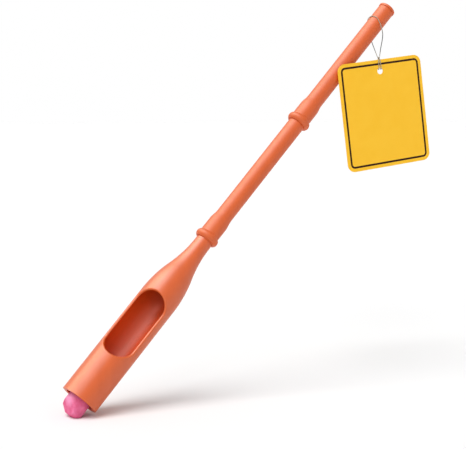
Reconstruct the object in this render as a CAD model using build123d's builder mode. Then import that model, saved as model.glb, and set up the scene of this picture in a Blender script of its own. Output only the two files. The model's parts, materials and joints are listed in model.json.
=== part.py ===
from build123d import *
from math import cos, pi, radians, sin, sqrt, tan
import os

# A chalk holder on a long pole, for drawing on the ground without bending down.
# The pole leans as it does in use. The worn face of the chalk lies flat on the ground,
# with the origin at its middle, and the pole leans from there towards +X.
# Lengths are in millimetres and angles in degrees.

# How the pole is held
lean = 43.8                  # angle between the pole and the vertical

# Chalk
chalk_diameter = 26.5
chalk_length = 68.0
chalk_stick_out = 19.2       # how far the chalk stands out of the barrel's mouth
chalk_wear = 5.5             # height ground off the lowest corner by drawing
chalk_tip_round = 7.0        # rounding of the worn end
chalk_top_chamfer = 1.5      # broken edge of the moulded end, inside the barrel
# Older worn faces: turn about the pole from its underside, slope, radius where each one starts
chalk_worn_faces = [(-80.0, 30.0, 6.0), (-172.0, 50.0, 1.3), (115.0, 40.0, 5.5)]

# Chalk barrel, moulded like a bottle with an open base
barrel_diameter = 44.0
barrel_wall = 2.2
shoulder_start = 139.2       # from the mouth, where the barrel starts to narrow
shoulder_end = 221.4         # from the mouth, where the neck is reached
neck_showing = 4.4           # bare neck between the shoulder and the first socket
neck_wall = 2.0
mouth_round = 4.0            # rounding of the barrel's lower edge
mouth_lip = 2.6              # how far that edge turns inwards past the bore
mouth_lip_height = 3.0
mouth_inner_round = 0.6
seat_ridge_height = 1.0      # ridge inside the barrel that stops the grip collar
seat_ridge_width = 2.0

# Window that shows how much chalk is left
window_length = 85.0
window_width = 34.0
window_from_mouth = 56.8
window_turn = 42.4           # from the front, -Y, towards the top side of the pole
window_round = 1.6

# Soft grip collar pressed into the barrel's mouth
collar_recess = 4.5
collar_length = 12.0
collar_wall = 2.4
collar_fins = 8
collar_fin_thickness = 1.6
collar_lead_in = 2.5         # slope that guides the chalk in between the fins
collar_clearance = 0.05
chalk_clearance = 0.15

# Pole tubes: each has a belled socket at its lower end and a plain upper end
tube_diameter = 20.0
tube_wall = 1.5
socket_depth = 22.0
socket_wall = 1.5
socket_shoulder = 2.0        # straight outside of the socket beyond the spigot's end
socket_taper = 14.0
bead_height = 2.5
bead_length = 9.0
middle_reach = 180.6         # from the middle tube's mouth to the top tube's mouth
top_reach = 189.5            # from the top tube's mouth to its upper end
fit_clearance = 0.06         # radial play of a push fit
seat_gap = 0.1               # end play of a push fit
spigot_chamfer = 0.6

# End cap
cap_overhang = 0.5           # how far the rim stands out past the tube
cap_rim = 3.0
cap_rise = 2.4
cap_rim_round = 0.9
cap_plug_depth = 10.0
cap_plug_wall = 1.3

# Tag, string and knot
tag_width = 114.8
tag_height = 128.8
tag_thickness = 1.0
tag_corner = 9.5
tag_hole = 7.6
tag_hole_from_top = 13.7
tag_yaw = 8.0                # the tag's face turns this far from -Y towards -X
tag_tilt = 7.7               # and its top edge rises this much to the right
string_diameter = 1.0
string_clearance = 0.15
loop_from_end = 24.3         # string loop, measured down from the top tube's upper end
knot_radius = 2.0
knot_thickness = 2.8
knot_play = 0.15             # play between the knot and what lies against it
knot_offset = (-9.3, -20.0, -40.6)        # from the middle of the loop
leg_spread = 45.0            # each leg reaches the knot this far to one side of straight up
hitch_spacing = 3.0          # between the two strands that go through the tag's hole
# Points of the front leg, from the middle of the loop, counted upwards from the knot
front_leg = [(-5.3, -18.4, -29.9), (-0.5, -15.8, -18.9), (2.2, -13.4, -9.4)]
# Corners of the loop round the pole: turn from the underside, and drop along the pole
loop_corners = [(-125.0, -4.0), (-172.0, -4.0), (-219.0, -2.0), (-266.0, 3.0), (-314.0, 10.5)]
loop_corner_step = 48.0      # widest turn of the loop at one corner
arc_share = 0.45             # share of the shorter run that each rounded corner may take

# Directions and places that follow from the sizes above
along = Vector(sin(radians(lean)), 0, cos(radians(lean)))
across = Vector(cos(radians(lean)), 0, -sin(radians(lean)))
side = Vector(0, 1, 0)
chalk_radius = chalk_diameter / 2
corner_x = chalk_wear * (1 / tan(radians(lean)) - tan(radians(lean))) / 2
corner = Vector(corner_x, 0, -chalk_wear)
mouth = corner + along * chalk_stick_out - across * chalk_radius
pole_axis = Axis(mouth, along)
section = Plane(origin=mouth, x_dir=across, z_dir=(0, -1, 0))
mouth_plane = Plane(origin=mouth, x_dir=across, z_dir=along)

barrel_radius = barrel_diameter / 2
barrel_bore = barrel_radius - barrel_wall
tube_radius = tube_diameter / 2
tube_bore = tube_radius - tube_wall
socket_bore = tube_radius + fit_clearance
socket_radius = socket_bore + socket_wall
seat_ridge = collar_recess + collar_length
middle_mouth = shoulder_end + neck_showing
top_mouth = middle_mouth + middle_reach
top_end = top_mouth + top_reach
string_radius = string_diameter / 2


def around_pole(turn):
    """Unit direction out from the pole's axis, by its turn from the underside."""
    return across * cos(radians(turn)) + side * sin(radians(turn))


def on_pole(distance, turn, radius):
    """A point by its distance from the mouth, its turn from the underside and its radius."""
    return mouth + along * distance + around_pole(turn) * radius


def from_axis(point):
    """Distance of a point from the pole's axis."""
    offset = point - mouth
    return (offset - along * offset.dot(along)).length


def s_curve(start, end):
    """Two equal arcs that leave and arrive parallel to the pole."""
    middle = ((start[0] + end[0]) / 2, (start[1] + end[1]) / 2)
    TangentArc(start, middle, tangent=(0, 1))
    TangentArc(end, middle, tangent=(0, -1))


def belled_tube(socket_mouth, upper_end):
    """Outline of one tube of the pole: bead, socket, taper and plain tube."""
    bead_top = socket_mouth + bead_length
    socket_floor = socket_mouth + socket_depth + seat_gap
    taper_start = socket_floor + socket_shoulder
    ThreePointArc(
        (socket_radius, socket_mouth),
        (socket_radius + bead_height, (socket_mouth + bead_top) / 2),
        (socket_radius, bead_top),
    )
    Line((socket_radius, bead_top), (socket_radius, taper_start))
    s_curve((socket_radius, taper_start), (tube_radius, taper_start + socket_taper))
    Polyline(
        (tube_radius, taper_start + socket_taper),
        (tube_radius, upper_end - spigot_chamfer),
        (tube_radius - spigot_chamfer, upper_end),
        (tube_bore, upper_end),
        (tube_bore, socket_floor),
        (socket_bore, socket_floor),
        (socket_bore, socket_mouth),
        (socket_radius, socket_mouth),
    )


os.makedirs("parts", exist_ok=True)

# Chalk barrel: bottle-shaped shell, open at the mouth, with a neck that plugs into the middle tube
neck_end = middle_mouth + socket_depth
neck_bore = tube_radius - neck_wall
ridge_bore = barrel_bore - seat_ridge_height
lip_bore = barrel_bore - mouth_lip
ridge_top = seat_ridge + seat_ridge_width
window_normal = around_pole(-90 - window_turn)
window_middle = mouth + along * (window_from_mouth + window_length / 2)
outside_of_wall = barrel_radius - barrel_wall / 4
with BuildPart() as chalk_barrel:
    with BuildSketch(section) as barrel_section:
        with BuildLine():
            Line((barrel_radius, 0), (barrel_radius, shoulder_start))
            s_curve((barrel_radius, shoulder_start), (tube_radius, shoulder_end))
            Polyline(
                (tube_radius, shoulder_end),
                (tube_radius, neck_end - spigot_chamfer),
                (tube_radius - spigot_chamfer, neck_end),
                (neck_bore, neck_end),
                (neck_bore, shoulder_end),
            )
            s_curve((barrel_bore, shoulder_start), (neck_bore, shoulder_end))
            Polyline(
                (barrel_bore, shoulder_start),
                (barrel_bore, ridge_top + seat_ridge_height),
                (ridge_bore, ridge_top),
                (ridge_bore, seat_ridge),
                (barrel_bore, seat_ridge),
                (barrel_bore, mouth_lip_height),
                (lip_bore, mouth_lip_height),
                (lip_bore, 0),
                (barrel_radius, 0),
            )
        make_face()
        lower_edge = barrel_section.vertices().group_by(Axis.Y)[0].sort_by(Axis.X)
        fillet(lower_edge[0], mouth_inner_round)
        fillet(lower_edge[-1], mouth_round)
    revolve(axis=pole_axis)
    with BuildSketch(Plane(origin=window_middle, x_dir=along, z_dir=window_normal)):
        SlotOverall(window_length, window_width)
    extrude(amount=barrel_diameter, mode=Mode.SUBTRACT)
    window_edges = chalk_barrel.edges(Select.LAST)
    fillet(window_edges.filter_by(lambda edge: from_axis(edge @ 0.5) > outside_of_wall), window_round)
chalk_barrel.part.label = "chalk_barrel"
export_step(chalk_barrel.part, "parts/chalk_barrel.step")

# Grip collar: soft ring with fins that hold the chalk in the middle of the wider barrel
collar_radius = barrel_bore - collar_clearance
collar_inside = collar_radius - collar_wall
fin_tip = chalk_radius + chalk_clearance
fin_root = (collar_inside + collar_radius) / 2
with BuildPart() as grip_collar:
    with BuildSketch(section):
        with BuildLine():
            Polyline(
                (collar_radius, collar_recess),
                (collar_radius, seat_ridge),
                (collar_inside, seat_ridge),
                (collar_inside, collar_recess),
                close=True,
            )
        make_face()
    revolve(axis=pole_axis)
    with BuildSketch(mouth_plane.offset(collar_recess)):
        with PolarLocations((fin_tip + fin_root) / 2, collar_fins):
            Rectangle(fin_root - fin_tip, collar_fin_thickness)
    extrude(amount=collar_length)
    with BuildSketch(section):
        with BuildLine():
            Polyline(
                (0, collar_recess),
                (fin_tip + collar_lead_in, collar_recess),
                (fin_tip, collar_recess + collar_lead_in),
                (0, collar_recess + collar_lead_in),
                close=True,
            )
        make_face()
    revolve(axis=pole_axis, mode=Mode.SUBTRACT)
grip_collar.part.label = "grip_collar"
export_step(grip_collar.part, "parts/grip_collar.step")

# Chalk stick: a stub, rounded and worn to flat faces at the end that draws
chalk_top = chalk_length - chalk_stick_out
with BuildPart() as chalk_stick:
    with BuildSketch(section):
        with BuildLine():
            Line((0, -chalk_stick_out), (chalk_radius - chalk_tip_round, -chalk_stick_out))
            TangentArc(
                (chalk_radius - chalk_tip_round, -chalk_stick_out),
                (chalk_radius, chalk_tip_round - chalk_stick_out),
                tangent=(1, 0),
            )
            Polyline(
                (chalk_radius, chalk_tip_round - chalk_stick_out),
                (chalk_radius, chalk_top - chalk_top_chamfer),
                (chalk_radius - chalk_top_chamfer, chalk_top),
                (0, chalk_top),
                (0, -chalk_stick_out),
            )
        make_face()
    revolve(axis=pole_axis)
    for turn, slope, start in chalk_worn_faces:
        worn_normal = around_pole(turn) * sin(radians(slope)) - along * cos(radians(slope))
        worn_plane = Plane(origin=on_pole(-chalk_stick_out, turn, start), z_dir=worn_normal)
        split(bisect_by=worn_plane, keep=Keep.BOTTOM)
    split(bisect_by=Plane.XY, keep=Keep.TOP)
chalk_stick.part.label = "chalk_stick"
export_step(chalk_stick.part, "parts/chalk_stick.step")

# Middle tube: its socket takes the barrel's neck, its plain end goes into the top tube
with BuildPart() as middle_tube:
    with BuildSketch(section):
        with BuildLine():
            belled_tube(middle_mouth, top_mouth + socket_depth)
        make_face()
    revolve(axis=pole_axis)
middle_tube.part.label = "middle_tube"
export_step(middle_tube.part, "parts/middle_tube.step")

# Top tube: the part that is held
with BuildPart() as top_tube:
    with BuildSketch(section):
        with BuildLine():
            belled_tube(top_mouth, top_end)
        make_face()
    revolve(axis=pole_axis)
top_tube.part.label = "top_tube"
export_step(top_tube.part, "parts/top_tube.step")

# End cap: domed plug, its rim seated on the end of the top tube
cap_radius = tube_radius + cap_overhang
cap_shoulder = top_end + cap_rim
plug_radius = tube_bore - fit_clearance
plug_inside = plug_radius - cap_plug_wall
with BuildPart() as end_cap:
    with BuildSketch(section) as cap_section:
        with BuildLine():
            TangentArc((0, cap_shoulder + cap_rise), (cap_radius, cap_shoulder), tangent=(1, 0))
            Polyline(
                (cap_radius, cap_shoulder),
                (cap_radius, top_end),
                (plug_radius, top_end),
                (plug_radius, top_end - cap_plug_depth),
                (plug_inside, top_end - cap_plug_depth),
                (plug_inside, top_end + cap_rim - cap_plug_wall),
                (0, top_end + cap_rim - cap_plug_wall),
                (0, cap_shoulder + cap_rise),
            )
        make_face()
        fillet(cap_section.vertices().group_by(Axis.X)[-1], cap_rim_round)
    revolve(axis=pole_axis)
end_cap.part.label = "end_cap"
export_step(end_cap.part, "parts/end_cap.step")

# Where the tag hangs: its own right, up and front directions, its knot and its hole
level_right = Vector(cos(radians(tag_yaw)), -sin(radians(tag_yaw)), 0)
tag_front = Vector(-sin(radians(tag_yaw)), -cos(radians(tag_yaw)), 0)
tag_right = level_right * cos(radians(tag_tilt)) + Vector(0, 0, 1) * sin(radians(tag_tilt))
tag_up = Vector(0, 0, 1) * cos(radians(tag_tilt)) - level_right * sin(radians(tag_tilt))
loop_middle = mouth + along * (top_end - loop_from_end)
knot = loop_middle + Vector(*knot_offset)
knot_above_hole = tag_hole_from_top + knot_play + knot_radius
hole_middle = knot - tag_up * knot_above_hole
tag_plane = Plane(origin=hole_middle, x_dir=tag_right, z_dir=tag_front)

# Tag: flat card with rounded corners and a punched hole
with BuildPart() as hang_tag:
    with BuildSketch(tag_plane):
        with Locations((0, tag_hole_from_top - tag_height / 2)):
            RectangleRounded(tag_width, tag_height, tag_corner)
        Circle(tag_hole / 2, mode=Mode.SUBTRACT)
    extrude(amount=tag_thickness / 2, both=True)
hang_tag.part.label = "hang_tag"
export_step(hang_tag.part, "parts/hang_tag.step")

# Knot: a flattened ball, round about the line that the tag swings on
with BuildPart() as string_knot:
    with BuildSketch(Plane(origin=knot, x_dir=tag_right, z_dir=tag_right.cross(tag_front))):
        with BuildLine():
            ThreePointArc((0, -knot_thickness / 2), (knot_radius, 0), (0, knot_thickness / 2))
            Line((0, -knot_thickness / 2), (0, knot_thickness / 2))
        make_face()
    revolve(axis=Axis(knot, tag_front))
string_knot.part.label = "string_knot"
export_step(string_knot.part, "parts/string_knot.step")

# Hitch: two strands from the knot down the tag's face, through the hole and up its back
strand_out = tag_thickness / 2 + string_clearance + string_radius
strand_top = knot_above_hole - knot_radius
strand_turn = sqrt((tag_hole / 2) ** 2 - (hitch_spacing / 2) ** 2)
with BuildPart() as string_hitch:
    for strand_side in (-hitch_spacing / 2, hitch_spacing / 2):
        strand_middle = hole_middle + tag_right * strand_side
        with BuildLine(Plane(origin=strand_middle, x_dir=tag_front, z_dir=tag_front.cross(tag_up))) as strand:
            Line((strand_out, strand_top), (strand_out, strand_turn))
            ThreePointArc(
                (strand_out, strand_turn),
                (0, strand_turn - strand_out),
                (-strand_out, strand_turn),
            )
            Line((-strand_out, strand_turn), (-strand_out, strand_top))
        with BuildSketch(Plane(origin=strand.wire() @ 0, z_dir=strand.wire() % 0)):
            Circle(string_radius)
        sweep(path=strand.wire())
string_hitch.part.label = "string_hitch"
export_step(string_hitch.part, "parts/string_hitch.step")

# String: from the knot up the front leg, once round the pole, and straight back to the knot
loop_radius = (tube_radius + string_clearance + string_radius) / cos(radians(loop_corner_step / 2))
loop_place = top_end - loop_from_end
leg_points = [loop_middle + Vector(*point) for point in front_leg]
loop_points = [on_pole(loop_place - drop, turn, loop_radius) for turn, drop in loop_corners]
knot_reach = knot_radius + knot_play + string_radius / 2
beside_knot = tag_right * (knot_reach * sin(radians(leg_spread)))
above_knot = knot + tag_up * (knot_reach * cos(radians(leg_spread)))
string_start = above_knot + beside_knot
string_end = above_knot - beside_knot
string_points = [string_start, *leg_points, *loop_points, string_end]
string_runs = [after - before for before, after in zip(string_points, string_points[1:])]
string_bends = []
for run, next_run in zip(string_runs, string_runs[1:]):
    half_turn = radians(run.get_angle(next_run) / 2)
    string_bends.append(arc_share * min(run.length, next_run.length) / tan(half_turn))
with BuildPart() as tag_string:
    with BuildLine() as string_route:
        FilletPolyline(*string_points, radius=string_bends)
    with BuildSketch(Plane(origin=string_start, z_dir=string_route.wire() % 0)):
        Circle(string_radius)
    sweep(path=string_route.wire())
tag_string.part.label = "tag_string"
export_step(tag_string.part, "parts/tag_string.step")

string_length = string_route.wire().length
string_volume = pi * string_radius**2 * string_length
print("string bend radii:", [round(bend, 1) for bend in string_bends])
print(f"string length {string_length:.1f}, volume {tag_string.part.volume:.2f} of {string_volume:.2f}")
print(f"pole length {chalk_stick_out + cap_shoulder + cap_rise:.1f}, mouth at {mouth}")
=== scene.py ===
# %% [markdown]
# # A chalk holder on a long pole
# The real object is a stick of pavement chalk in a plastic pole, so that a person can draw on the
# ground standing up. The rigid pieces come from the CAD frame, already in place and in metres.
# This lesson adds the camera, the soft pieces, the worn chalk, the printed tag, the finishes and
# the light.

# %% Load the frame
import bpy
import json
from math import cos, pi, radians, sin
from mathutils import Matrix, Vector

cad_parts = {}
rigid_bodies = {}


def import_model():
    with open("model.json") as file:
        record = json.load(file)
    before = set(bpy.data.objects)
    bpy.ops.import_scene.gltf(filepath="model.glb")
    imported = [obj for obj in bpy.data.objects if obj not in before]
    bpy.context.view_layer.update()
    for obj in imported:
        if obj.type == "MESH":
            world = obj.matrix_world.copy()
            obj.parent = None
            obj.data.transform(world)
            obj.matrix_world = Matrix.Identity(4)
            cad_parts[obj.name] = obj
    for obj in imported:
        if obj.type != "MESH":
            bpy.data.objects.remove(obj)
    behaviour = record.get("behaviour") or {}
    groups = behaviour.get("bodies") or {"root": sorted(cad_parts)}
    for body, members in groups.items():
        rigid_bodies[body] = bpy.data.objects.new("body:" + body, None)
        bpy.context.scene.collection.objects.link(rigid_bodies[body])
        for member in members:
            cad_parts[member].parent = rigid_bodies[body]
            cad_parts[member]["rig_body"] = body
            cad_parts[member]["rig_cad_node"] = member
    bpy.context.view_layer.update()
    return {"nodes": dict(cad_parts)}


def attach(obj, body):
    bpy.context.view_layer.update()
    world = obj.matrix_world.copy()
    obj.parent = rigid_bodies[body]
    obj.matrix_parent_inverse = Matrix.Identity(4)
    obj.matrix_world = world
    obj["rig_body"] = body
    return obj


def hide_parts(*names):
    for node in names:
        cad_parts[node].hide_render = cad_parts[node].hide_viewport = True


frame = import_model()
nodes = frame["nodes"]
print("nodes:", sorted(nodes))

# %% [markdown]
# ## Camera
# The photograph was taken from a little above the middle of the pole, from the left of its front,
# with a long lens. A camera needs a place, a point to look at and a focal length. Turning it with
# a track quaternion keeps it level, which is easier than working out three angles by hand.

# %% Camera
CAMERA_PLACE = Vector((-0.5295, -1.1760, 0.3256))
CAMERA_TARGET = Vector((0.1935, -0.0070, 0.19775))
SENSOR_MM = 36.0
FOCAL_PIXELS = 1216.0
PHOTO_WIDTH = 466


def clear_selection():
    """Leave nothing selected, so that the next operator acts on its own piece only."""
    bpy.ops.object.select_all(action="DESELECT")


clear_selection()
bpy.ops.object.camera_add(location=CAMERA_PLACE)
camera = bpy.context.object
camera.name = "photo_camera"
camera.rotation_euler = (CAMERA_TARGET - CAMERA_PLACE).to_track_quat("-Z", "Y").to_euler()
camera.data.sensor_fit = "HORIZONTAL"
camera.data.sensor_width = SENSOR_MM
camera.data.lens = FOCAL_PIXELS / PHOTO_WIDTH * SENSOR_MM
bpy.context.scene.camera = camera
print(f"focal length {camera.data.lens:.1f} mm")

# %% [markdown]
# ## The string's line
# The string leaves the knot on the tag, hangs in a bow to the pole, goes once round it and comes
# straight back behind it. A NURBS spline through loose control points gives the smooth line of a
# limp string. The same points shape the string in the CAD model.

# %% The string's line
STRING_DIAMETER = 0.0010
STRING_ROUTE = [
    (0.391726, -0.020202, 0.391396),
    (0.394285, -0.018400, 0.400187),
    (0.399085, -0.015800, 0.411187),
    (0.401785, -0.013400, 0.420687),
    (0.397528, -0.009550, 0.437602),
    (0.394022, -0.001622, 0.440964),
    (0.394431, 0.007337, 0.437801),
    (0.396922, 0.011629, 0.428484),
    (0.398163, 0.008386, 0.416903),
    (0.388395, -0.019734, 0.390941),
]
LINE_STEPS = 48              # points on each stretch of the line


def smooth_line(name, route):
    """The points of a smooth NURBS line that follows the given control points."""
    curve = bpy.data.curves.new(name, "CURVE")
    curve.dimensions = "3D"
    curve.resolution_u = LINE_STEPS
    spline = curve.splines.new("NURBS")
    spline.points.add(len(route) - 1)
    for point, place in zip(spline.points, route):
        point.co = (*place, 1.0)
    spline.order_u = 3
    spline.use_endpoint_u = True
    holder = bpy.data.objects.new(name, curve)
    bpy.context.scene.collection.objects.link(holder)
    bpy.context.view_layer.update()
    mesh = bpy.data.meshes.new_from_object(holder)
    points = [vertex.co.copy() for vertex in mesh.vertices]
    bpy.data.objects.remove(holder)
    bpy.data.curves.remove(curve)
    bpy.data.meshes.remove(mesh)
    return points


string_line = smooth_line("string_line", STRING_ROUTE)
string_length = sum((end - start).length for start, end in zip(string_line, string_line[1:]))
print(f"string: {len(string_line)} points, {string_length * 1000:.1f} mm long")

# %% [markdown]
# ## Twisted cord
# The string is three fine yarns laid round each other. A plain tube would look like wire. Here
# each yarn is a thin tube on a helix about the line, and the three are joined into one mesh. The
# frame that carries the helix turns as little as it can from point to point, so the twist stays
# even.

# %% The line of one yarn
TWIST_LENGTH = 0.0042        # length of string in one turn of its yarns
FIRST_SIDE = Vector((0.31, 0.52, 0.79))   # any direction that no cord here starts in


def helix(points, reach, start):
    """The line of one yarn at the given reach from the cord's own line."""
    places = []
    travelled = 0.0
    out = FIRST_SIDE
    for index, point in enumerate(points):
        before = points[max(index - 1, 0)]
        after = points[min(index + 1, len(points) - 1)]
        tangent = (after - before).normalized()
        out = (out - tangent * out.dot(tangent)).normalized()
        beside = tangent.cross(out)
        travelled += (point - before).length
        angle = start + 2 * pi * travelled / TWIST_LENGTH
        places.append(point + (out * cos(angle) + beside * sin(angle)) * reach)
    return places


print(f"a yarn makes {string_length / TWIST_LENGTH:.0f} turns along the string")

# %% Twisted cord
YARNS = 3
YARN_SHARE = 0.500           # radius of a yarn as a share of the cord's radius
YARN_ROUNDNESS = 2           # bevel resolution of a yarn


def select_only(piece):
    """Select one piece and make it active, so that operators act on it alone."""
    clear_selection()
    piece.select_set(True)
    bpy.context.view_layer.objects.active = piece


def twisted_cord(name, lines, diameter):
    """One mesh of twisted yarns along each of the given lines."""
    yarn_radius = diameter / 2 * YARN_SHARE
    curve = bpy.data.curves.new(name, "CURVE")
    curve.dimensions = "3D"
    curve.bevel_depth = yarn_radius
    curve.bevel_resolution = YARN_ROUNDNESS
    curve.use_fill_caps = True
    for points in lines:
        for yarn in range(YARNS):
            places = helix(points, diameter / 2 - yarn_radius, 2 * pi * yarn / YARNS)
            spline = curve.splines.new("POLY")
            spline.points.add(len(places) - 1)
            for point, place in zip(spline.points, places):
                point.co = (*place, 1.0)
    cord = bpy.data.objects.new(name, curve)
    bpy.context.scene.collection.objects.link(cord)
    select_only(cord)
    bpy.ops.object.convert(target="MESH")
    bpy.ops.object.shade_smooth()
    print(f"{name}: {len(cord.data.polygons)} faces")
    return cord


hang_string = twisted_cord("hang_string", [string_line], STRING_DIAMETER)
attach(hang_string, "top")
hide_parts("tag_string")

# %% [markdown]
# ## The tag's own directions
# The tag hangs turned and tilted, and the knot and the hitch lie against it. They could be placed
# by points worked out by hand. It is simpler to find the tag's right, up and front once, and then
# to give every point as a distance along each of them from the middle of the tag's hole.

# %% The tag's own directions
TAG_YAW = radians(8.0)
TAG_TILT = radians(7.7)
KNOT = Vector((0.390285, -0.020, 0.389487))
KNOT_ABOVE_HOLE = 0.01585
level_right = Vector((cos(TAG_YAW), -sin(TAG_YAW), 0))
tag_front = Vector((-sin(TAG_YAW), -cos(TAG_YAW), 0))
tag_right = level_right * cos(TAG_TILT) + Vector((0, 0, sin(TAG_TILT)))
tag_up = Vector((0, 0, cos(TAG_TILT))) - level_right * sin(TAG_TILT)
hole = KNOT - tag_up * KNOT_ABOVE_HOLE


def on_tag(right, up, front):
    """A point by its distances from the middle of the tag's hole."""
    return hole + tag_right * right + tag_up * up + tag_front * front


print("hole at", [round(value, 4) for value in hole])

# %% [markdown]
# ## Knot
# At the tag's top edge the two legs of the string are tied together. An overhand knot is a
# trefoil, so its line is the trefoil's formula, drawn small and tight. That is surer than shaping
# a curve by hand, because the formula's line never crosses itself.

# %% Knot
KNOT_REACH = 0.00045
KNOT_DEPTH = 0.00078
KNOT_STEPS = 150

knot_line = []
for step in range(KNOT_STEPS + 1):
    turn = 2 * pi * step / KNOT_STEPS
    knot_line.append(on_tag(
        (sin(turn) + 2 * sin(2 * turn)) * KNOT_REACH,
        KNOT_ABOVE_HOLE + (cos(turn) - 2 * cos(2 * turn)) * KNOT_REACH,
        -sin(3 * turn) * KNOT_DEPTH,
    ))
tied_knot = twisted_cord("tied_knot", [knot_line], STRING_DIAMETER)
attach(tied_knot, "tag")
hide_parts("string_knot")

# %% [markdown]
# ## Hitch
# From the knot two strands go down the front of the card, through the hole and up the back. Each
# is one smooth line bent over the rim of the hole. The back run is the front run in reverse, on
# the other side of the card, so only one of them is written down.

# %% Hitch
STRAND_SPACING = 0.0030
STRAND_OUT = 0.00115         # from the tag's middle to the strand's middle
STRAND_TOP = 0.0141
STRAND_FLAT = 0.0121         # height where the strand comes to lie on the card
STRAND_BEND = 0.00399        # height where it begins to turn into the hole
STRAND_LOW = 0.001995        # height inside the hole
FRONT_RUN = [                # share of the spacing, height, share of the way out
    (0.5, STRAND_TOP, 0.5),
    (0.8, STRAND_FLAT, 1.0),
    (1.0, STRAND_BEND, 1.0),
    (1.0, STRAND_LOW, 0.9),
]
BACK_RUN = [(side, height, -out) for side, height, out in reversed(FRONT_RUN)]

strand_lines = []
for strand_side in (-STRAND_SPACING / 2, STRAND_SPACING / 2):
    strand_lines.append(smooth_line("strand_line", [
        on_tag(strand_side * side, height, STRAND_OUT * out)
        for side, height, out in FRONT_RUN + BACK_RUN
    ]))
hole_strands = twisted_cord("hole_strands", strand_lines, STRING_DIAMETER)
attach(hole_strands, "tag")
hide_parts("string_hitch")

# %% [markdown]
# The string is a limp cord with a fixed length and a knot on its end.

print("cord declared with", tied_knot.name, "and", hole_strands.name)

# %% [markdown]
# ## Tag
# The tag is a stiff printed card with rounded corners and a dark line inside its edge. The line
# could be a pattern in the material, but as faces of its own it stays sharp from close by. The
# card starts as a plane. Its corners are bevelled, two insets mark the line, and the faces between
# them get the ink.

# %% Tag
TAG_WIDTH = 0.1148
TAG_HEIGHT = 0.1288
TAG_CORNER = 0.0095
CORNER_STEPS = 10
LINE_INSET = 0.0040
LINE_WIDTH = 0.0024
HOLE_FROM_TOP = 0.0137

clear_selection()
bpy.ops.mesh.primitive_plane_add(size=1.0)
tag_card = bpy.context.object
tag_card.name = "tag_card"
tag_card.scale = (TAG_WIDTH, TAG_HEIGHT, 1.0)
bpy.ops.object.transform_apply(location=False, rotation=False, scale=True)
tag_card.location.y = HOLE_FROM_TOP - TAG_HEIGHT / 2
bpy.ops.object.transform_apply(location=True, rotation=False, scale=False)
card_yellow = bpy.data.materials.new("card_yellow")
card_ink = bpy.data.materials.new("card_ink")
tag_card.data.materials.append(card_yellow)
tag_card.data.materials.append(card_ink)

bpy.ops.object.mode_set(mode="EDIT")
bpy.ops.mesh.select_all(action="SELECT")
bpy.ops.mesh.bevel(offset=TAG_CORNER, segments=CORNER_STEPS, affect="VERTICES")
bpy.ops.mesh.select_all(action="SELECT")
bpy.ops.mesh.inset(thickness=LINE_INSET)
tag_card.active_material_index = 1
bpy.ops.object.material_slot_assign()
bpy.ops.mesh.inset(thickness=LINE_WIDTH)
tag_card.active_material_index = 0
bpy.ops.object.material_slot_assign()
bpy.ops.object.mode_set(mode="OBJECT")
print(f"tag_card: {len(tag_card.data.polygons)} faces, still flat")

# %% [markdown]
# ## Hole and edge
# The real card is cut and punched, so its edges are crisp but not razor sharp. Solidify gives the
# card its thickness, a boolean punches the hole, and a small bevel softens the cut edges so that
# they catch the light. Modifiers suit this, because those edges exist only once the card is thick.

# %% Hole and edge
TAG_THICKNESS = 0.0010
THICKNESS_SPARE = 0.000022   # keeps the card inside the CAD tag
HOLE_DIAMETER = 0.0076
HOLE_SIDES = 48
EDGE_SOFTNESS = 0.00022
EDGE_STEPS = 2
EDGE_ANGLE = radians(60)     # only edges that turn more than this are softened


def apply_modifiers(piece):
    """Apply every modifier of a piece, in order."""
    select_only(piece)
    for modifier in list(piece.modifiers):
        bpy.ops.object.modifier_apply(modifier=modifier.name)


clear_selection()
bpy.ops.mesh.primitive_cylinder_add(
    vertices=HOLE_SIDES, radius=HOLE_DIAMETER / 2, depth=TAG_THICKNESS * 4,
)
punch = bpy.context.object
thickness = tag_card.modifiers.new("thickness", "SOLIDIFY")
thickness.thickness = TAG_THICKNESS - THICKNESS_SPARE
thickness.offset = 0.0
punched = tag_card.modifiers.new("punched", "BOOLEAN")
punched.object = punch
punched.operation = "DIFFERENCE"
softened = tag_card.modifiers.new("softened", "BEVEL")
softened.width = EDGE_SOFTNESS
softened.segments = EDGE_STEPS
softened.limit_method = "ANGLE"
softened.angle_limit = EDGE_ANGLE
apply_modifiers(tag_card)
bpy.data.objects.remove(punch)
print(f"tag_card: {len(tag_card.data.polygons)} faces")

# %% [markdown]
# ## Hang the tag
# So far the card lies flat with its hole at the origin, where it is easy to model. A matrix made
# of the tag's own directions hangs it from the knot. Applying that matrix leaves the object at the
# origin with its place in its mesh, as on the CAD pieces.

# %% Hang the tag
SHADE_ANGLE = radians(20)    # flatter edges than this are shaded smooth

tag_card.matrix_world = Matrix((
    (tag_right.x, tag_up.x, tag_front.x, hole.x),
    (tag_right.y, tag_up.y, tag_front.y, hole.y),
    (tag_right.z, tag_up.z, tag_front.z, hole.z),
    (0, 0, 0, 1),
))
select_only(tag_card)
bpy.ops.object.transform_apply(location=True, rotation=True, scale=True)
bpy.ops.object.shade_smooth_by_angle(angle=SHADE_ANGLE)
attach(tag_card, "tag")
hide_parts("hang_tag")
print("tag_card lowest point:", round(min(vertex.co.z for vertex in tag_card.data.vertices), 4))

# %% [markdown]
# ## Worn chalk
# Chalk that has been rubbed on the ground has flat faces with soft, crumbled edges and a pitted
# skin. The CAD stick has the flat faces. A copy of it is merged, rebuilt in small even faces with
# a voxel remesh, smoothed a little, and then eaten away with two sizes of noise. The noise only
# goes inwards, so the stick still fits between the fins that hold it.

# %% Copy of the chalk
MERGE_DISTANCE = 0.000001

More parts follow.
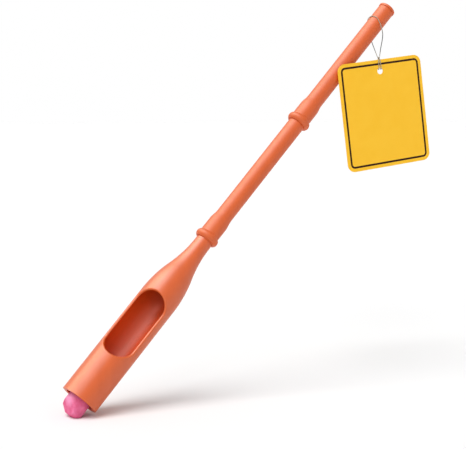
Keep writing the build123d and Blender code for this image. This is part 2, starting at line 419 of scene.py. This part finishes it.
select_only(nodes["chalk_stick"])
bpy.ops.object.duplicate()
worn_chalk = bpy.context.object
worn_chalk.name = "worn_chalk"
worn_chalk.parent = None
del worn_chalk["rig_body"]
del worn_chalk["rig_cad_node"]
bpy.ops.object.mode_set(mode="EDIT")
bpy.ops.mesh.select_all(action="SELECT")
bpy.ops.mesh.remove_doubles(threshold=MERGE_DISTANCE)
bpy.ops.object.mode_set(mode="OBJECT")
print(f"worn_chalk: {len(worn_chalk.data.polygons)} faces before it is worn")

# %% Worn chalk
CHALK_VOXEL = 0.0006
RUB_SHARE = 0.5              # how far each point moves towards its neighbours
HOLLOW_WIDTH = 0.009
HOLLOW_DEPTH = 0.00018
PIT_WIDTH = 0.0016
PIT_DEPTH = 0.00012


def eat_away(piece, name, width, depth):
    """Add noise that takes material off the surface, and none that adds to it."""
    texture = bpy.data.textures.new(name, "CLOUDS")
    texture.noise_scale = width
    texture.noise_depth = 2
    worn = piece.modifiers.new(name, "DISPLACE")
    worn.texture = texture
    worn.texture_coords = "LOCAL"
    worn.strength = depth
    worn.mid_level = 1.0


rebuilt = worn_chalk.modifiers.new("rebuilt", "REMESH")
rebuilt.mode = "VOXEL"
rebuilt.voxel_size = CHALK_VOXEL
rubbed = worn_chalk.modifiers.new("rubbed", "SMOOTH")
rubbed.factor = RUB_SHARE
rubbed.iterations = 1
eat_away(worn_chalk, "hollows", HOLLOW_WIDTH, HOLLOW_DEPTH)
eat_away(worn_chalk, "pits", PIT_WIDTH, PIT_DEPTH)
apply_modifiers(worn_chalk)
bpy.ops.object.shade_smooth()
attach(worn_chalk, "chalk")
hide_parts("chalk_stick")
print(f"worn_chalk: {len(worn_chalk.data.polygons)} faces")

# %% [markdown]
# ## Finishes
# Every finish is a principled shader fed by nodes. Nodes could be added one by one and linked
# afterwards, but that takes many lines. Here one helper adds a node and gives each of its sockets
# a link or a plain value, so a finish can be read from top to bottom.

# %% Helpers for nodes
def feed(tree, socket, value):
    """Link a socket to another node's output, or set it to a plain value."""
    if isinstance(value, bpy.types.NodeSocket):
        tree.links.new(value, socket)
    else:
        socket.default_value = value


def add_node(tree, kind, sockets, **settings):
    """Add one node with its settings, and feed its sockets by name or number."""
    node = tree.nodes.new(kind)
    for name, value in settings.items():
        setattr(node, name, value)
    for name, value in sockets.items():
        feed(tree, node.inputs[name], value)
    return node


def finish(material):
    """An empty node tree with one principled shader: returns the tree and the shader."""
    material.use_nodes = True
    tree = material.node_tree
    tree.nodes.clear()
    shader = tree.nodes.new("ShaderNodeBsdfPrincipled")
    add_node(tree, "ShaderNodeOutputMaterial", {"Surface": shader.outputs["BSDF"]})
    return tree, shader


def dress(tree, shader, colour, roughness, specular):
    """Set the three things that every finish has."""
    feed(tree, shader.inputs["Base Color"], colour)
    feed(tree, shader.inputs["Roughness"], roughness)
    feed(tree, shader.inputs["Specular IOR Level"], specular)


def coat(piece, material):
    """Give a piece one finish in place of any that it has."""
    piece.data.materials.clear()
    piece.data.materials.append(material)
    print(piece.name, "in", material.name)


# %% [markdown]
# ## Patterns
# Real surfaces vary a little from place to place. That could be painted, but noise on the piece's
# own coordinates needs no image. These coordinates are in metres on every piece, so a scale of
# 1000 gives grains of about a millimetre, and the pattern stays on the piece when it moves.

# %% Noise on a piece
def own_place(tree):
    """The piece's own coordinates."""
    return tree.nodes.new("ShaderNodeTexCoord").outputs["Object"]


def noise(tree, scale, detail=2.0, stretch=(1, 1, 1), turn=(0, 0, 0)):
    """Noise on the piece's own coordinates, stretched and turned as given: returns its value."""
    laid = add_node(tree, "ShaderNodeMapping", {
        "Vector": own_place(tree), "Rotation": turn, "Scale": stretch,
    })
    grain = add_node(tree, "ShaderNodeTexNoise", {
        "Vector": laid.outputs["Vector"], "Scale": scale, "Detail": detail,
    })
    return grain.outputs["Fac"]


print("noise is laid in", bpy.context.scene.unit_settings.length_unit.lower())

# %% [markdown]
# ## From noise to finish
# Noise is one value at each point of the surface. A ramp turns it into colour, a range into
# roughness, and a bump into small heights. A second bump goes on top of the first, so one surface
# can have a coarse and a fine grain.

# %% From noise to finish
NOISE_LOW = 0.3              # noise seldom leaves the range from low to high
NOISE_HIGH = 0.7


def graded(tree, value, stops):
    """Turn a value into colour by stops of place and colour."""
    ramp = add_node(tree, "ShaderNodeValToRGB", {"Fac": value})
    points = ramp.color_ramp.elements
    while len(points) < len(stops):
        points.new(0.5)
    for point, (place, colour) in zip(points, stops):
        point.position = place
        point.color = (*colour, 1.0)
    return ramp.outputs["Color"]


def between(tree, value, low, high, start=NOISE_LOW, end=NOISE_HIGH):
    """Spread a value that runs from start to end over the range from low to high."""
    spread = add_node(tree, "ShaderNodeMapRange", {
        "Value": value, "From Min": start, "From Max": end, "To Min": low, "To Max": high,
    })
    return spread.outputs["Result"]


def bumped(tree, shader, scale, strength, height, detail=2.0):
    """Raise the surface by noise, on top of any bump that is already there."""
    bump = add_node(tree, "ShaderNodeBump", {
        "Height": noise(tree, scale, detail), "Strength": strength, "Distance": height,
    })
    if shader.inputs["Normal"].is_linked:
        feed(tree, bump.inputs["Normal"], shader.inputs["Normal"].links[0].from_socket)
    feed(tree, shader.inputs["Normal"], bump.outputs["Normal"])


print(f"noise is spread from {NOISE_LOW} to {NOISE_HIGH}")

# %% [markdown]
# ## Pole plastic
# The pole is moulded in one coral colour, with the fine satin grain of a sparked mould. The melt
# runs along the pole, so the faint streaks in its colour are stretched that way. Handling leaves
# the gloss a little uneven. The barrel and the tubes come from two moulds, and the tubes' mould
# leaves them a little more matt.

# %% Pole plastic
LEAN = radians(43.8)
ALONG_POLE = (0, -LEAN, 0)
STREAKS = (90, 90, 9)        # across, across and along the pole
HANDLING = (160, 160, 40)
BARREL_SPECULAR = 0.80
TUBE_SPECULAR = 0.75
CORAL = [
    (0.30, (0.613, 0.086, 0.001)),
    (0.50, (0.637, 0.092, 0.002)),
    (0.70, (0.661, 0.098, 0.003)),
]


def moulded(name, smooth, rough, specular):
    """Coral plastic with streaks along the pole, and roughness between the two values given."""
    material = bpy.data.materials.new(name)
    tree, shader = finish(material)
    streaks = noise(tree, scale=1.0, detail=3.0, stretch=STREAKS, turn=ALONG_POLE)
    handling = noise(tree, scale=1.0, detail=4.0, stretch=HANDLING, turn=ALONG_POLE)
    colour = graded(tree, streaks, CORAL)
    dress(tree, shader, colour, between(tree, handling, smooth, rough), specular)
    bumped(tree, shader, scale=1500.0, strength=0.05, height=0.0001)
    bumped(tree, shader, scale=90.0, strength=0.04, height=0.0010)
    return material


barrel_plastic = moulded("barrel_plastic", smooth=0.38, rough=0.43, specular=BARREL_SPECULAR)
tube_plastic = moulded("tube_plastic", smooth=0.50, rough=0.55, specular=TUBE_SPECULAR)
coat(nodes["chalk_barrel"], barrel_plastic)
for name in ("middle_tube", "top_tube", "end_cap"):
    coat(nodes[name], tube_plastic)

# %% [markdown]
# ## Inside of the barrel
# The mould's core leaves the plastic a little duller inside the barrel. The inside also gets a
# redder colour, a painted shade that stands in for the light that comes in through the window and
# grows redder at each bounce. The CAD faces stay as they are, so the inside can't get a material
# of its own. The nodes find it by its distance from the pole's own line, and there they put the
# painted redder colour and another roughness over the first.

# %% Find the inside
MOUTH = (0.003956, 0.0, 0.017529)
ALONG = (sin(LEAN), 0.0, cos(LEAN))
INSIDE_RADIUS = 0.0201
INSIDE_REACH = 0.150         # from the mouth to where the shoulder closes in


def vector_node(tree, operation, first, second):
    """One node of vector maths on two vectors."""
    return add_node(tree, "ShaderNodeVectorMath", {0: first, 1: second}, operation=operation)


def combined(tree, operation, first, second):
    """The result of one node of maths on two values."""
    node = add_node(tree, "ShaderNodeMath", {0: first, 1: second}, operation=operation)
    return node.outputs["Value"]


def inside_barrel(tree):
    """One for the inside of the barrel, zero for the outside."""
    offset = vector_node(tree, "SUBTRACT", own_place(tree), MOUTH).outputs["Vector"]
    turned = vector_node(tree, "CROSS_PRODUCT", offset, ALONG).outputs["Vector"]
    radius = vector_node(tree, "DISTANCE", turned, (0, 0, 0)).outputs["Value"]
    reach = vector_node(tree, "DOT_PRODUCT", offset, ALONG).outputs["Value"]
    narrow = combined(tree, "LESS_THAN", radius, INSIDE_RADIUS)
    low = combined(tree, "LESS_THAN", reach, INSIDE_REACH)
    return combined(tree, "MULTIPLY", narrow, low)


tree = barrel_plastic.node_tree
inside = inside_barrel(tree)
print(f"inside: {INSIDE_REACH * 1000:.0f} mm deep, {INSIDE_RADIUS * 2000:.1f} mm across")

# %% Inside of the barrel
# painted shade: the inside's redder colour stands in for light that reddens at each bounce
INSIDE_PAINTED_SHADE = (0.700, 0.079, 0.002, 1.0)
INSIDE_ROUGHNESS = 0.45
MIX_SOCKETS = {              # a mix node's first input, second input and output
    "RGBA": (6, 7, 2),
    "FLOAT": (2, 3, 0),
}


def mixed(tree, share, first, second, kind="RGBA"):
    """Mix two colours, or two values of the kind FLOAT, by a share from 0 to 1."""
    start, end, result = MIX_SOCKETS[kind]
    node = add_node(tree, "ShaderNodeMix", {0: share, start: first, end: second}, data_type=kind)
    return node.outputs[result]


shader = tree.nodes["Principled BSDF"]
outer_colour = shader.inputs["Base Color"].links[0].from_socket
outer_roughness = shader.inputs["Roughness"].links[0].from_socket
dress(
    tree,
    shader,
    mixed(tree, inside, outer_colour, INSIDE_PAINTED_SHADE),
    mixed(tree, inside, outer_roughness, INSIDE_ROUGHNESS, kind="FLOAT"),
    BARREL_SPECULAR,
)
print(f"barrel_plastic: {len(tree.nodes)} nodes")

# %% [markdown]
# ## Collar rubber
# The collar sits in the shade of the mouth. It is a dull elastomer with a soft grain, and its dark
# red-brown is partly its own colour and partly painted shade of the mouth. Noise in its colour and
# roughness is enough, with a fine bump to break up what gloss is left.

# %% Collar rubber
COLLAR_SPECULAR = 0.50

collar_rubber = bpy.data.materials.new("collar_rubber")
tree, shader = finish(collar_rubber)
# partly painted shade: this dark red-brown also stands for the shade inside the mouth
colour = graded(tree, noise(tree, scale=220.0, detail=3.0), [
    (0.35, (0.060, 0.014, 0.010)),
    (0.65, (0.085, 0.022, 0.015)),
])
roughness = between(tree, noise(tree, scale=400.0), 0.70, 0.85)
dress(tree, shader, colour, roughness, COLLAR_SPECULAR)
bumped(tree, shader, scale=1800.0, strength=0.15, height=0.0001)
coat(nodes["grip_collar"], collar_rubber)

# %% [markdown]
# ## Chalk
# Pavement chalk is dyed plaster: quite matt, with a dye that is a little uneven. Its upper left
# face, which faces the lamp, is painted a paler pink as a painted highlight. The nodes lay it
# within a centimetre of the middle of that face, and it fades out towards the edge, which is
# simpler than painting it.

# %% Chalk
PAINTED_HIGHLIGHT_PLACE = (-0.01045, -0.0023, 0.02136)
PAINTED_HIGHLIGHT_FULL = 0.0035           # from the middle of the painted highlight to where it begins to fade
PAINTED_HIGHLIGHT_REACH = 0.0105
PAINTED_HIGHLIGHT_COLOUR = (0.930, 0.330, 0.550, 1.0)
CHALK_SPECULAR = 0.15

pink_chalk = bpy.data.materials.new("pink_chalk")
tree, shader = finish(pink_chalk)
dye_colour = graded(tree, noise(tree, scale=140.0, detail=4.0), [
    (0.30, (0.700, 0.110, 0.235)),
    (0.50, (0.765, 0.150, 0.300)),
    (0.72, (0.840, 0.215, 0.395)),
])
# painted highlight: a paler pink on the upper left face, where the lamp falls
from_painted_highlight = vector_node(tree, "DISTANCE", own_place(tree), PAINTED_HIGHLIGHT_PLACE).outputs["Value"]
painted_highlight_share = between(tree, from_painted_highlight, 1.0, 0.0, start=PAINTED_HIGHLIGHT_FULL, end=PAINTED_HIGHLIGHT_REACH)
colour = mixed(tree, painted_highlight_share, dye_colour, PAINTED_HIGHLIGHT_COLOUR)
roughness = between(tree, noise(tree, scale=600.0), 0.88, 1.0)
dress(tree, shader, colour, roughness, CHALK_SPECULAR)
bumped(tree, shader, scale=1400.0, strength=0.35, height=0.0003, detail=4.0)
coat(worn_chalk, pink_chalk)

# %% [markdown]
# ## Card and ink
# The card is printed in a flat warm yellow and has a low sheen. The dark line is ink on the same
# card, so the two finishes differ in colour alone. Both get a little unevenness from the print.

# %% Card and ink
CARD_SPECULAR = 0.15

for material, dark, pale in (
    (card_yellow, (0.985, 0.548, 0.029), (1.000, 0.568, 0.035)),
    (card_ink, (0.024, 0.005, 0.001), (0.032, 0.007, 0.002)),
):
    tree, shader = finish(material)
    print_tone = noise(tree, scale=60.0, detail=5.0)
    colour = graded(tree, print_tone, [(0.35, dark), (0.65, pale)])
    roughness = between(tree, noise(tree, scale=250.0, detail=3.0), 0.42, 0.50)
    dress(tree, shader, colour, roughness, CARD_SPECULAR)
    bumped(tree, shader, scale=2200.0, strength=0.06, height=0.0001)
    print(material.name, "on", tag_card.name)

# %% [markdown]
# ## String
# The string is a grey thread with a slight shine, painted in a lit and a shaded copy of its
# colour. In the two legs that hang free it is dark, a painted shade. On the pole, in the knot and
# in the hole it is paler and warmer, a painted highlight and a painted reflection of the pole and
# the tag. The nodes tell the legs from the rest by their height. Fine noise over the yarns stands
# for the fibres.

# %% String
LEG_FOOT = 0.3925            # height of the top of the knot
FOOT_FADE = 0.0060           # height over which the tone changes above the knot
LEG_HEAD = 0.4160            # height where the first leg reaches the pole
HEAD_FADE = 0.0120           # height over which the tone changes on the pole
THREAD_SPECULAR = 0.25

grey_thread = bpy.data.materials.new("grey_thread")
tree, shader = finish(grey_thread)
fibres = noise(tree, scale=1500.0, detail=3.0)
# painted shade: the dark tone of the two free legs
leg_painted_shade = graded(tree, fibres, [
    (0.30, (0.026, 0.025, 0.023)),
    (0.70, (0.060, 0.057, 0.053)),
])
# painted highlight and reflection: the paler, warmer tone on the pole, in the knot and in the hole
painted_reflection_colour = graded(tree, fibres, [
    (0.30, (0.350, 0.305, 0.235)),
    (0.70, (0.530, 0.465, 0.365)),
])
height = add_node(tree, "ShaderNodeSeparateXYZ", {"Vector": own_place(tree)}).outputs["Z"]
at_knot = between(tree, height, 1.0, 0.0, start=LEG_FOOT, end=LEG_FOOT + FOOT_FADE)
on_pole = between(tree, height, 0.0, 1.0, start=LEG_HEAD, end=LEG_HEAD + HEAD_FADE)
# painted highlight and reflection at the knot, in the hole and on the pole, painted shade in the
# legs between
colour = mixed(tree, combined(tree, "MAXIMUM", at_knot, on_pole), leg_painted_shade, painted_reflection_colour)
roughness = between(tree, noise(tree, scale=900.0), 0.60, 0.75)
dress(tree, shader, colour, roughness, THREAD_SPECULAR)
bumped(tree, shader, scale=6000.0, strength=0.30, height=0.0001)
for cord in (hang_string, tied_knot, hole_strands):
    coat(cord, grey_thread)

# %% [markdown]
# ## Floor
# The photograph has a white floor that runs into a white background. A floor that is far larger
# than the view has no edge to hide. It lies a hair below the chalk, so that the two never share a
# face, and it is quite matt, because a gloss would mirror the pole.

# %% Floor
FLOOR_SIZE = 60.0
FLOOR_GAP = 0.0001
FLOOR_COLOUR = (0.93, 0.93, 0.93, 1.0)

clear_selection()
bpy.ops.mesh.primitive_plane_add(size=FLOOR_SIZE, location=(0, 0, -FLOOR_GAP))
floor = bpy.context.object
floor.name = "floor"
floor_white = bpy.data.materials.new("floor_white")
floor_white.use_nodes = True
tree = floor_white.node_tree
tree.nodes.clear()
matt = add_node(tree, "ShaderNodeBsdfDiffuse", {"Color": FLOOR_COLOUR})
add_node(tree, "ShaderNodeOutputMaterial", {"Surface": matt.outputs["BSDF"]})
coat(floor, floor_white)

# %% [markdown]
# ## Lamps
# The photograph has a soft shadow to the right. One broad lamp from above and the left gives that
# shadow. A weaker one from the front lights the tag and reaches in through the window. A
# photographer would also stand a warm white card behind the pole on the left, to widen the
# highlight. Here that card is a lamp that shows in gloss only, so it adds no light to the floor or
# to the colours.

# %% Lamps
LAMP_FROM = Vector((-0.43, -0.16, 1.0))
LAMP_STRENGTH = 2.0
LAMP_ANGLE = radians(38)
FRONT_FROM = Vector((-0.75, -0.80, 0.75))
FRONT_STRENGTH = 0.38
FRONT_ANGLE = radians(20)
CARD_FROM = Vector((-0.426, 0.389, 0.817))
CARD_STRENGTH = 2.4
CARD_COLOUR = (1.0, 0.97, 0.74)
CARD_ANGLE = radians(45)


def broad_lamp(name, place, strength, angle):
    """A far lamp that shines from the given side and is as wide as the given angle."""
    clear_selection()
    bpy.ops.object.light_add(type="SUN", location=place)
    lamp = bpy.context.object
    lamp.name = name
    lamp.rotation_euler = place.to_track_quat("Z", "Y").to_euler()
    lamp.data.energy = strength
    lamp.data.angle = angle
    print(f"{name}: strength {strength}")
    return lamp


broad_lamp("softbox", LAMP_FROM, LAMP_STRENGTH, LAMP_ANGLE)
broad_lamp("front_box", FRONT_FROM, FRONT_STRENGTH, FRONT_ANGLE)
white_card = broad_lamp("white_card", CARD_FROM, CARD_STRENGTH, CARD_ANGLE)
white_card.data.color = CARD_COLOUR
white_card.visible_diffuse = False

# %% [markdown]
# ## World
# The world fills in the light that the lamps leave out. Seen directly, in gloss or through
# something clear, it is plain white, as the background is. For all other rays it is weaker, so
# that the white background doesn't light the object too strongly.

# %% World
FILL_STRENGTH = 0.45
WHITE_STRENGTH = 1.0

world = bpy.data.worlds.new("studio")
bpy.context.scene.world = world
world.use_nodes = True
tree = world.node_tree
tree.nodes.clear()
rays = tree.nodes.new("ShaderNodeLightPath").outputs
direct = combined(tree, "MAXIMUM", rays["Is Camera Ray"], rays["Is Glossy Ray"])
seen = combined(tree, "MAXIMUM", direct, rays["Is Transmission Ray"])
level = between(tree, seen, FILL_STRENGTH, WHITE_STRENGTH, start=0.0, end=1.0)
sky = add_node(tree, "ShaderNodeBackground", {"Color": (1.0, 1.0, 1.0, 1.0), "Strength": level})
add_node(tree, "ShaderNodeOutputWorld", {"Surface": sky.outputs["Background"]})
bpy.context.scene.view_settings.view_transform = "Standard"
print(f"{world.name}: fill {FILL_STRENGTH}, seen as {WHITE_STRENGTH}")
